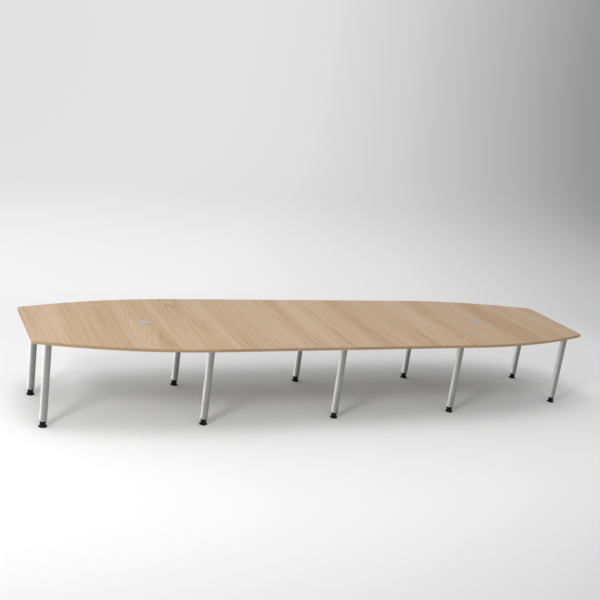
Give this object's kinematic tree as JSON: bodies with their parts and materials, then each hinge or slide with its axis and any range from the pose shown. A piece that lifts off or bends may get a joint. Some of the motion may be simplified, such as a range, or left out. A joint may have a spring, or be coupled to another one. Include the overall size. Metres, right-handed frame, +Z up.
{
  "type": "conference table",
  "caption": "Long boat-shaped conference table: segmented oak-finish top with curved sides, silver round tube legs on black levelling feet, and round cable outlets.",
  "frame": {"origin": "on the floor, under the middle of the top", "axes": "+X along the table's length, +Y across it away from the front, +Z up"},
  "size_m": [5.2, 1.3, 0.7375],
  "materials": {
    "oak_panel": "light oak melamine board, grain across the table, satin",
    "oak_edge": "oak-pattern plastic edge band, satin",
    "silver_coat": "silver powder coat on steel, fine texture",
    "black_plastic": "black moulded plastic",
    "grey_plastic": "silver-grey moulded plastic",
    "zinc_steel": "zinc-plated steel strip"
  },
  "bodies": {
    "table": {"top_end_left": "oak_panel", "top_middle_left": "oak_panel", "edge_end_left": "oak_edge", "edge_front_left": "oak_edge", "edge_back_left": "oak_edge", "top_end_right": "oak_panel", "top_middle_right": "oak_panel", "edge_end_right": "oak_edge", "edge_front_right": "oak_edge", "edge_back_right": "oak_edge", "leg_front_1": "silver_coat", "foot_insert_front_1": "black_plastic", "leg_front_2": "silver_coat", "foot_insert_front_2": "black_plastic", "leg_front_3": "silver_coat", "foot_insert_front_3": "black_plastic", "leg_front_4": "silver_coat", "foot_insert_front_4": "black_plastic", "leg_front_5": "silver_coat", "foot_insert_front_5": "black_plastic", "leg_back_1": "silver_coat", "foot_insert_back_1": "black_plastic", "leg_back_2": "silver_coat", "foot_insert_back_2": "black_plastic", "leg_back_3": "silver_coat", "foot_insert_back_3": "black_plastic", "leg_back_4": "silver_coat", "foot_insert_back_4": "black_plastic", "leg_back_5": "silver_coat", "foot_insert_back_5": "black_plastic", "outlet_liner_left": "grey_plastic", "outlet_liner_right": "grey_plastic", "seam_plate_left": "zinc_steel", "seam_plate_middle": "zinc_steel", "seam_plate_right": "zinc_steel"},
    "pad_front_1": {"foot_pad_front_1": "black_plastic"},
    "adjuster_front_1": {"foot_adjuster_front_1": "black_plastic"},
    "pad_front_2": {"foot_pad_front_2": "black_plastic"},
    "adjuster_front_2": {"foot_adjuster_front_2": "black_plastic"},
    "pad_front_3": {"foot_pad_front_3": "black_plastic"},
    "adjuster_front_3": {"foot_adjuster_front_3": "black_plastic"},
    "pad_front_4": {"foot_pad_front_4": "black_plastic"},
    "adjuster_front_4": {"foot_adjuster_front_4": "black_plastic"},
    "pad_front_5": {"foot_pad_front_5": "black_plastic"},
    "adjuster_front_5": {"foot_adjuster_front_5": "black_plastic"},
    "pad_back_1": {"foot_pad_back_1": "black_plastic"},
    "adjuster_back_1": {"foot_adjuster_back_1": "black_plastic"},
    "pad_back_2": {"foot_pad_back_2": "black_plastic"},
    "adjuster_back_2": {"foot_adjuster_back_2": "black_plastic"},
    "pad_back_3": {"foot_pad_back_3": "black_plastic"},
    "adjuster_back_3": {"foot_adjuster_back_3": "black_plastic"},
    "pad_back_4": {"foot_pad_back_4": "black_plastic"},
    "adjuster_back_4": {"foot_adjuster_back_4": "black_plastic"},
    "pad_back_5": {"foot_pad_back_5": "black_plastic"},
    "adjuster_back_5": {"foot_adjuster_back_5": "black_plastic"},
    "cap_left": {"outlet_cap_left": "grey_plastic"},
    "cap_right": {"outlet_cap_right": "grey_plastic"}
  },
  "joints": [
    {"name": "level_front_1", "type": "slide", "parent": "table", "child": "pad_front_1", "axis": [0, 0, -1], "range_m": [0, 0.014]},
    {"name": "screw_front_1", "type": "hinge", "parent": "pad_front_1", "child": "adjuster_front_1", "pos_m": [-2.47, -0.32, 0.03], "axis": [0, 0, -1], "range_deg": [0, 2880]},
    {"name": "level_front_2", "type": "slide", "parent": "table", "child": "pad_front_2", "axis": [0, 0, -1], "range_m": [0, 0.014]},
    {"name": "screw_front_2", "type": "hinge", "parent": "pad_front_2", "child": "adjuster_front_2", "pos_m": [-1.2, -0.425, 0.03], "axis": [0, 0, -1], "range_deg": [0, 2880]},
    {"name": "level_front_3", "type": "slide", "parent": "table", "child": "pad_front_3", "axis": [0, 0, -1], "range_m": [0, 0.014]},
    {"name": "screw_front_3", "type": "hinge", "parent": "pad_front_3", "child": "adjuster_front_3", "pos_m": [0, -0.425, 0.03], "axis": [0, 0, -1], "range_deg": [0, 2880]},
    {"name": "level_front_4", "type": "slide", "parent": "table", "child": "pad_front_4", "axis": [0, 0, -1], "range_m": [0, 0.014]},
    {"name": "screw_front_4", "type": "hinge", "parent": "pad_front_4", "child": "adjuster_front_4", "pos_m": [1.2, -0.425, 0.03], "axis": [0, 0, -1], "range_deg": [0, 2880]},
    {"name": "level_front_5", "type": "slide", "parent": "table", "child": "pad_front_5", "axis": [0, 0, -1], "range_m": [0, 0.014]},
    {"name": "screw_front_5", "type": "hinge", "parent": "pad_front_5", "child": "adjuster_front_5", "pos_m": [2.47, -0.32, 0.03], "axis": [0, 0, -1], "range_deg": [0, 2880]},
    {"name": "level_back_1", "type": "slide", "parent": "table", "child": "pad_back_1", "axis": [0, 0, -1], "range_m": [0, 0.014]},
    {"name": "screw_back_1", "type": "hinge", "parent": "pad_back_1", "child": "adjuster_back_1", "pos_m": [-2.47, 0.32, 0.03], "axis": [0, 0, -1], "range_deg": [0, 2880]},
    {"name": "level_back_2", "type": "slide", "parent": "table", "child": "pad_back_2", "axis": [0, 0, -1], "range_m": [0, 0.014]},
    {"name": "screw_back_2", "type": "hinge", "parent": "pad_back_2", "child": "adjuster_back_2", "pos_m": [-1.2, 0.425, 0.03], "axis": [0, 0, -1], "range_deg": [0, 2880]},
    {"name": "level_back_3", "type": "slide", "parent": "table", "child": "pad_back_3", "axis": [0, 0, -1], "range_m": [0, 0.014]},
    {"name": "screw_back_3", "type": "hinge", "parent": "pad_back_3", "child": "adjuster_back_3", "pos_m": [0, 0.425, 0.03], "axis": [0, 0, -1], "range_deg": [0, 2880]},
    {"name": "level_back_4", "type": "slide", "parent": "table", "child": "pad_back_4", "axis": [0, 0, -1], "range_m": [0, 0.014]},
    {"name": "screw_back_4", "type": "hinge", "parent": "pad_back_4", "child": "adjuster_back_4", "pos_m": [1.2, 0.425, 0.03], "axis": [0, 0, -1], "range_deg": [0, 2880]},
    {"name": "level_back_5", "type": "slide", "parent": "table", "child": "pad_back_5", "axis": [0, 0, -1], "range_m": [0, 0.014]},
    {"name": "screw_back_5", "type": "hinge", "parent": "pad_back_5", "child": "adjuster_back_5", "pos_m": [2.47, 0.32, 0.03], "axis": [0, 0, -1], "range_deg": [0, 2880]},
    {"name": "cap_turn_left", "type": "hinge", "parent": "table", "child": "cap_left", "pos_m": [-1.65, 0, 0.735], "axis": [0, 0, 1], "range_deg": [0, 180]},
    {"name": "cap_turn_right", "type": "hinge", "parent": "table", "child": "cap_right", "pos_m": [1.65, 0, 0.735], "axis": [0, 0, 1], "range_deg": [0, 180]}
  ],
  "couplings": [
    {"joint": "screw_front_1", "follows": "level_front_1", "rad_per_m": 3590.4},
    {"joint": "screw_front_2", "follows": "level_front_2", "rad_per_m": 3590.4},
    {"joint": "screw_front_3", "follows": "level_front_3", "rad_per_m": 3590.4},
    {"joint": "screw_front_4", "follows": "level_front_4", "rad_per_m": 3590.4},
    {"joint": "screw_front_5", "follows": "level_front_5", "rad_per_m": 3590.4},
    {"joint": "screw_back_1", "follows": "level_back_1", "rad_per_m": 3590.4},
    {"joint": "screw_back_2", "follows": "level_back_2", "rad_per_m": 3590.4},
    {"joint": "screw_back_3", "follows": "level_back_3", "rad_per_m": 3590.4},
    {"joint": "screw_back_4", "follows": "level_back_4", "rad_per_m": 3590.4},
    {"joint": "screw_back_5", "follows": "level_back_5", "rad_per_m": 3590.4}
  ]
}
